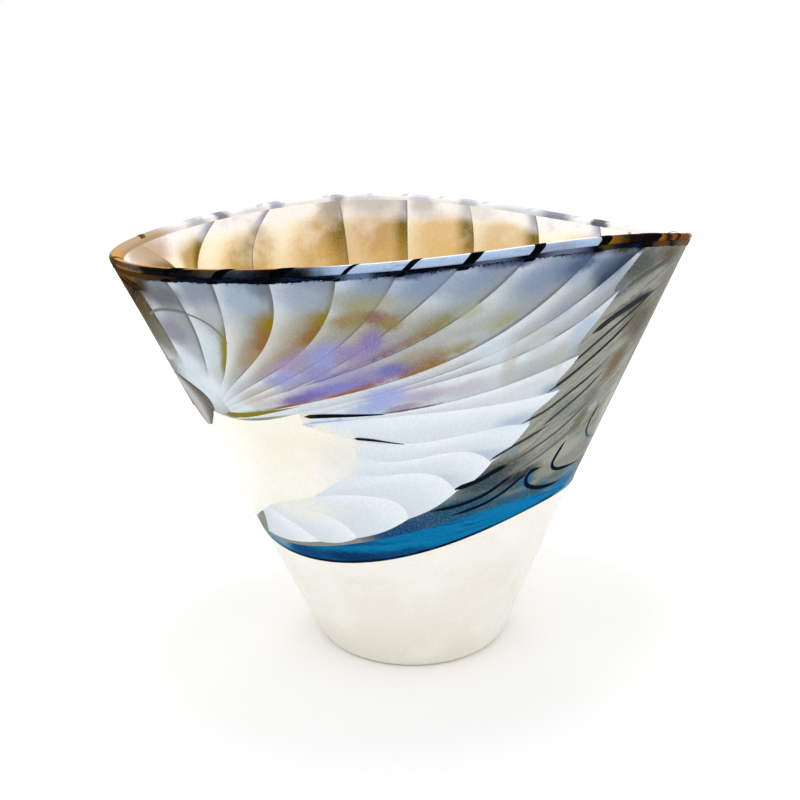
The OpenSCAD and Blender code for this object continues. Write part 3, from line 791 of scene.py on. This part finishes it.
def thread_glass():
    g = Glass("combed_thread_glass", "8b8f88")
    g.lay("0b1218", g.smooth(g.tone, 0.2, 0.95, 0.0, 1.0))
    flank = g.smooth(g.math("ABSOLUTE", g.math("SUBTRACT", g.u, 0.5)), 0.3, 0.5, 0, 0.85)
    g.lay("0f4f78", g.times(flank, g.smooth(g.s, 104, 88)))
    g.lay("8f928b", g.times(g.smooth(g.t, 0.75, 1.0), 0.6))
    g.patches([(78, 90, 10, 20, 0, "8fa0a4", 0.6), (-40, 126.5, 18, 10, 0, "8a7a24", 1.0)])
    return g.finish()


def foot_glass():
    g = Glass("foot_glass", "e9e4d6", roughness=0.35)
    g.lay("d5cfc0", g.smooth(g.noise(220, 4), 0.45, 0.7, 0, 0.5))
    return g.finish(bump=0.25)


# -------------------- pieces

def strip_grid(places, proud, u, t, fan, tone=0.0):
    """Grid for tiles() from fan places of shape (rows, cols, 2)."""
    b, s = placed(places, fan)
    extra = [b, s, proud, places[..., 0], places[..., 1], u, t, tone + 0 * u]
    return np.stack(np.broadcast_arrays(*extra), -1)


def plume(fan, i, glass):
    """One plume: proud and rounded on its upper edge, slipping under the next one at its foot."""
    rows, cols = 72, 25
    t, u = np.meshgrid(np.linspace(0, 1, rows), np.linspace(0, 1, cols), indexing="ij")
    hollow = TIP_HOLLOW if i in CLAWED else 0.0
    te = t * (1 - hollow * np.sin(math.pi * u ** 2) * t ** 4)
    upper, lower = PLUME_EDGES[i - 1], PLUME_EDGES[i]
    places = along(upper, te) * (1 - u)[..., None] + along(lower, te) * u[..., None]
    if i >= FIRST_ROUND:
        bulge = TIP_BULGE * np.sin(math.pi * u) * t ** 3
        places = places + bulge[..., None] * np.array(BULGE_WAY)
    rounded = np.sqrt(np.clip(1 - (1 - np.clip(u / 0.06, 0, 1)) ** 2, 0, 1))
    proud = (PLUME_LOW + (PLUME_PROUD - PLUME_LOW) * (1 - u) ** 1.3) * (0.45 + 0.55 * rounded)
    rise = 4 if i in BRISK else 1.8
    proud = proud * np.sin(np.radians(90 * np.minimum(1, rise * t + 0.08)))
    name = f"{fan}_plume_{i:02d}"
    v = tiles([strip_grid(places, proud, u, t, fan, i / PLUMES)])
    return build(name + "_opal", *v, glass, "opal_plume_glass", [name])


def opal_field(fan, glass):
    rows, cols = 81, 60
    k, u = np.meshgrid(np.linspace(0, len(FIELD_EDGE) - 1, rows), np.linspace(0, 1, cols), indexing="ij")
    near = np.array([PLUME_EDGES[i][0] for i in FIELD_ROOTS])
    index = np.arange(len(FIELD_EDGE))
    near = np.stack([np.interp(k, index, near[:, c]) for c in (0, 1)], -1)
    far = np.repeat(route(FIELD_EDGE, rows)[:, None], cols, axis=1)
    sag = FIELD_SAG * np.sin(math.pi * u) * np.maximum(0, 1 - k / 2)
    places = near * (1 - u)[..., None] + far * u[..., None] - np.stack([0 * sag, sag], -1)
    proud = FIELD_PROUD * (0.5 + np.sin(math.pi * u))
    v = tiles([strip_grid(places, proud, u, k / 8, fan)])
    return build(f"{fan}_opal_field_glass", *v, glass, "opal_field_glass", [f"{fan}_opal_field"])


def smoke_streaks(fan, glass):
    t, u = np.meshgrid(np.linspace(0, 1, 48), np.linspace(0, 1, 20), indexing="ij")
    grids = []
    for far, near in SMOKE_STREAKS:
        places = along(far, t) * (1 - u)[..., None] + along(near, t) * u[..., None]
        proud = SMOKE_PROUD * np.sin(math.pi * u) ** 0.5 + 0.05 + 0 * t
        grids.append(strip_grid(places, proud, u, t, fan))
    return build(f"{fan}_smoke_streak_glass", *tiles(grids), glass, "smoke_glass", [f"{fan}_smoke_streaks"])


def ribbon(places, width, fan, tone, proud=THREAD_PROUD, taper=THREAD_TAPER):
    """A half-round thread along a route of places, tapered to both ends."""
    rows, cols = 14 * len(places), 9
    line = route(places, rows)
    mm_per_deg = math.pi / 180 * wall_rz(line[:, 0], line[:, 1])[0]
    run = np.gradient(line, axis=0) * np.stack([mm_per_deg, np.ones(rows)], -1)
    run /= np.linalg.norm(run, axis=1)[:, None]
    t = np.linspace(0, 1, rows)
    swell = np.clip(np.minimum(t / taper[0], (1 - t) / taper[1]), 0.12, 1) ** 0.7
    x = np.linspace(-1, 1, cols)
    half = (width / 2 * swell)[:, None] * x[None]
    places = np.stack([line[:, :1] - run[:, 1:] * half / mm_per_deg[:, None],
                       line[:, 1:] + run[:, :1] * half], -1)
    height = proud * swell[:, None] * np.sqrt(1 - 0.96 * x[None] ** 2)
    u = (x[None] + 1) / 2 + 0 * half
    return strip_grid(places, height, u, t[:, None] + 0 * half, fan, tone)


def combed_threads(fan, glass):
    grids = [ribbon(places, width, fan, tone) for places, width, tone in THREADS]
    for places, width, tone in STROKES:
        grids.append(ribbon(places, width, fan, tone, STROKE_PROUD, STROKE_TAPER))
    return build(f"{fan}_combed_thread_glass", *tiles(grids), glass, "dark_thread_glass",
                 [f"{fan}_combed_threads"])


def outer_layer(low, high, steps, proud=0.0):
    """Section of an outer layer between two slants, its faces cut into steps up the wall."""
    def section(b):
        lo, hi = low(b), high(b)
        rows = [(lo * (1 - k / steps) + hi * k / steps, -proud) for k in range(steps + 1)]
        return section_points(b, [(lo, SKIN_T)] + rows + [(hi, SKIN_T)])
    return section


def ivory_cup(glass):
    """The lower cup, with a softly rounded corner at the base and a flat floor round the ground disc."""
    corner = [(0.0, 2.2), (0.5, 1.0), (1.3, 0.3), (2.5, 0.0)]
    top, steps = corner[-1][0], 40

    def section(b):
        rows = [(top + (seam(b) - top) * k / steps, 0.0) for k in range(1, steps + 1)]
        rz, sd = section_points(b, corner + rows + [(seam(b), SKIN_T)])
        inner = wall_rz(b, SKIN_FLOOR * SLANT / lip_z(b), SKIN_T)[0]
        floor = [(inner, SKIN_FLOOR), (FOOT_R, SKIN_FLOOR), (FOOT_R, 0.0)]
        floor_rz = np.array([np.stack([r + 0 * b, z + 0 * b], -1) for r, z in floor])
        floor_sd = np.array([np.stack([z + 0 * b, SKIN_T + 0 * b], -1) for r, z in floor])
        return np.concatenate([rz, floor_rz]), np.concatenate([sd, floor_sd])

    return build("ivory_cup_glass", *ring(section, fan=False), glass, "ivory_glass", ["ivory_base_cup"])


def panel_bearing(i, f, s):
    """Bearing of a place in inside panel i, at fraction f of the way across it."""
    n = len(PANEL_EDGES)
    starts = np.array([e[0] for e in PANEL_EDGES] + [PANEL_EDGES[0][0] + 360], float)
    leans = np.array([e[1] for e in PANEL_EDGES] + [PANEL_EDGES[0][1]], float)
    at = starts + leans * (1 - (1 - min(1, (SLANT - s) / LEAN_DEPTH)) ** 2)
    return at[i % n] * (1 - f) + at[i % n + 1] * f


def amber_lining(glass):
    """The inside wall and floor, with mesh columns that follow the edges of its panels."""
    per, panels = 40, len(PANEL_EDGES)
    columns = per * panels
    i, f = np.divmod(np.arange(columns), per)
    f = f / per
    verts, sd = [], []

    def add(b, r, z, s, d):
        a = np.radians(b)
        verts.append(np.stack([r * np.sin(a), -r * np.cos(a), z + 0 * b], -1) * MM)
        sd.append((s, d))

    lip_b = panel_bearing(i, f, SLANT)
    foot_b = panel_bearing(i, f, 0)
    foot_s = (FLOOR_T + 2) * SLANT / lip_z(foot_b)
    add(foot_b, FOOT_R, SKIN_FLOOR, SKIN_FLOOR, SKIN_T)
    inner = wall_rz(foot_b, SKIN_FLOOR * SLANT / lip_z(foot_b), SKIN_T)[0]
    add(foot_b, inner, SKIN_FLOOR, SKIN_FLOOR, SKIN_T)
    add(lip_b, *wall_rz(lip_b, LIP_FOOT, SKIN_T), LIP_FOOT, SKIN_T)
    for k in range(81):
        level = LIP_FOOT + (float(foot_s.mean()) - LIP_FOOT) * k / 80
        b = panel_bearing(i, f, level)
        s = LIP_FOOT + (foot_s - LIP_FOOT) * k / 80
        add(b, *wall_rz(b, s, WALL_T), level, WALL_T)
    add(foot_b, wall_rz(foot_b, FLOOR_T * SLANT / lip_z(foot_b), WALL_T + 2)[0], FLOOR_T, 9, WALL_T)
    add(foot_b, FOOT_R, FLOOR_T, 9, WALL_T)
    n = len(verts)
    faces = quads(columns, n, True, True)[:, ::-1]
    column, point = faces // n, faces % n
    first = np.repeat(np.arange(columns), n)[:, None]
    across = np.where(column == first, f[first], f[first] + 1 / per)
    sd = np.array(sd, float)
    b = (panel_bearing(i, f, LIP_FOOT)[first] + 180) % 360 - 180 + 0 * column
    place = np.stack([b, sd[point, 0], sd[point, 1]], -1).reshape(-1, 3)
    strip = np.stack([0 * b, across, 0 * b], -1).reshape(-1, 3)
    verts = np.array(verts).transpose(1, 0, 2).reshape(-1, 3)
    return build("amber_lining", verts, faces, place, strip, glass, "amber_lining_glass",
                 ["amber_inner_lining"])


def lip_bead(glass):
    profile = [(LIP_FOOT, WALL_T), (LIP_FOOT, 0.0)]
    for a in np.radians(np.linspace(0, 180, 19)):
        height = BEAD_SIDE + (1 - BEAD_SIDE) * math.sin(a)
        profile.append((LIP_FOOT + LIP_H * height, WALL_T * (1 - math.cos(a)) / 2))

    def bead_section(b):
        return section_points(b, profile)

    bead = ring(bead_section, 720, fan=False)
    return build("lip_bead_glass", *bead, glass, "lip_glass", ["lip_bead_wrap"])


def dark_lip_thread(glass):
    """Dark thread under the bead, whose lower edge ran ragged in the heat."""
    def low(b):
        thin = 0.9 * np.exp(-((b - 15 + 180) % 360 - 180) ** 2 / 600)
        ragged = PATTERN_TOP + 0.4 + thin + 0.25 * waves(b, 40, 3, 5, 60) + 0.12 * waves(b, 60, 5, 120, 420)
        return np.clip(ragged, PATTERN_TOP - 0.4, LIP_FOOT - 0.5)
    section = outer_layer(low, lambda b: LIP_FOOT, 4, LIP_THREAD_PROUD)
    return build("dark_lip_thread_glass", *ring(section, 2160, fan=False), glass, "dark_thread_glass",
                 ["dark_lip_thread"])


def lip_canes(glass):
    """Dark canes slanting across the dark thread and over the bead."""
    rows, cols = 25, 9
    foot = PATTERN_TOP + 0.2
    parts = []
    for b0, width in CANES.items():
        v, u = np.meshgrid(np.linspace(0, 1, rows), np.linspace(-1, 1, cols), indexing="ij")
        a = np.clip((v - 0.45) / 0.55, 0, 1) * math.radians(150)
        rise = foot + (LIP_FOOT + BEAD_SIDE * LIP_H - foot) * np.clip(v / 0.45, 0, 1)
        s = rise + (1 - BEAD_SIDE) * LIP_H * np.sin(a) * (v > 0.45)
        d = WALL_T * (1 - np.cos(a)) / 2
        r = wall_rz(b0 + 0 * v, s, d)[0]
        taper = 0.75 + 0.25 * v
        b = b0 + CANE_LEAN * v + u * width / 2 * taper / (math.pi / 180 * r)
        lift = 0.14 * np.sqrt(1 - 0.9 * u ** 2) + 0.25 * np.clip(1 - v / 0.3, 0, 1)
        up, out = np.sin(np.pi * d / WALL_T), np.cos(np.pi * d / WALL_T)
        top = wall_points(b, s + lift * up, d - lift * out)
        under = wall_points(b, s - SUNK * up, d + SUNK * out)
        parts.append((top, under, np.stack([b, s, d], -1), np.stack([(u + 1) / 2, v, 0 * v], -1), False))
    return build("lip_cane_glass", *slabs(parts), glass, "dark_thread_glass", ["lip_canes"])


def ground_foot(glass):
    """Ground disc with a shallow polished pontil scar underneath."""
    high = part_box("ground_foot_disc")[1]
    radius, top = high.x / MM, high.z / MM
    columns, steps = 96, 12
    scar = [(radius, top), (radius, FOOT_CHAMFER), (radius - FOOT_CHAMFER, 0.0), (PONTIL_R, 0.0)]
    for k in range(1, steps + 1):
        depth = PONTIL_DEPTH * math.sin(math.radians(90 * k / steps))
        scar.append((PONTIL_R - (PONTIL_R - PONTIL_EYE) * k / steps, depth))
    b = np.arange(columns) * 360 / columns
    a = np.radians(b)
    verts = [(r * math.sin(x) * MM, -r * math.cos(x) * MM, z * MM) for x in a for r, z in scar]
    n = len(scar)
    faces = []
    for i in range(columns):
        k = (i + 1) % columns
        faces += [[i * n + j, i * n + j + 1, k * n + j + 1, k * n + j] for j in range(n - 1)]
    faces.append([i * n + n - 1 for i in range(columns)])
    faces.append([i * n for i in reversed(range(columns))])
    corner = np.concatenate(faces)
    xyz = np.array(verts)[corner] / MM
    return build("ground_foot_glass", verts, faces, xyz, xyz, glass, "foot_glass", ["ground_foot_disc"])


def vase():
    ground_foot(foot_glass())
    ivory_cup(ivory_glass())
    amber_lining(amber_lining_glass())
    smoke = smoke_ground_glass()
    layer = outer_layer(band_top, lambda b: PATTERN_TOP + LIP_OVERLAP, 80)
    build("smoke_bowl_glass", *ring(layer, 480), smoke, "smoke_glass", ["smoke_bowl_layer"])
    layer = outer_layer(lambda b: seam(b) + SEAM_THREAD_H, band_top, 14, BAND_PROUD)
    build("teal_band_glass", *ring(layer, 480), teal_glass(), "teal_glass", ["teal_seam_band"])
    layer = outer_layer(seam, lambda b: seam(b) + SEAM_THREAD_H, 4, NAVY_PROUD)
    build("navy_thread_glass", *ring(layer, 480), navy_glass(), "navy_glass", ["navy_seam_thread"])
    lip_bead(lip_glass())
    dark_lip_thread(dark_thread_glass())
    lip_canes(cane_glass())
    opal, field = opal_plume_glass(), opal_field_glass()
    streak, thread = smoke_streak_glass(), thread_glass()
    for fan in FANS:
        combed_threads(fan, thread)
        opal_field(fan, field)
        smoke_streaks(fan, streak)
        for i in range(1, PLUMES + 1):
            plume(fan, i, opal)


# -------------------- studio

def floor():
    g = Glass("studio_floor", "ffffff", roughness=0.6, coat=0.0)
    mesh = bpy.data.meshes.new("studio_floor")
    x = FLOOR_HALF
    mesh.from_pydata([(-x, -x, 0), (x, -x, 0), (x, x, 0), (-x, x, 0)], [], [(0, 1, 2, 3)])
    mesh.materials.append(g.finish(bump=0.0, grain=0.0, gain=1.0))
    obj = in_scene("studio_floor", mesh)


def softbox(name, place, target, size, power):
    light = bpy.data.lights.new(name, "AREA")
    light.shape = "DISK"
    light.size = size
    light.energy = power
    obj = in_scene(name, light)
    obj.location = place
    obj.rotation_euler = (Vector(target) - Vector(place)).to_track_quat("-Z", "Y").to_euler()


def studio():
    floor()
    world = bpy.data.worlds.new("studio")
    world.use_nodes = True
    background = world.node_tree.nodes["Background"]
    background.inputs["Color"].default_value = (1, 1, 1, 1)
    background.inputs["Strength"].default_value = 1.0
    scene.world = world
    scene.view_settings.view_transform = "Standard"
    for name, box in SOFTBOXES.items():
        softbox(name, *box)


def camera():
    data = bpy.data.cameras.new("camera")
    data.lens, data.sensor_width = LENS, SENSOR
    obj = in_scene("camera", data)
    obj.location = CAMERA_AT
    aim = Vector(CAMERA_AIM) - Vector(CAMERA_AT)
    roll = Quaternion((0, 0, 1), math.radians(CAMERA_ROLL))
    obj.rotation_euler = (aim.to_track_quat("-Z", "Y") @ roll).to_euler()
    scene.camera = obj


vase()
studio()
camera()
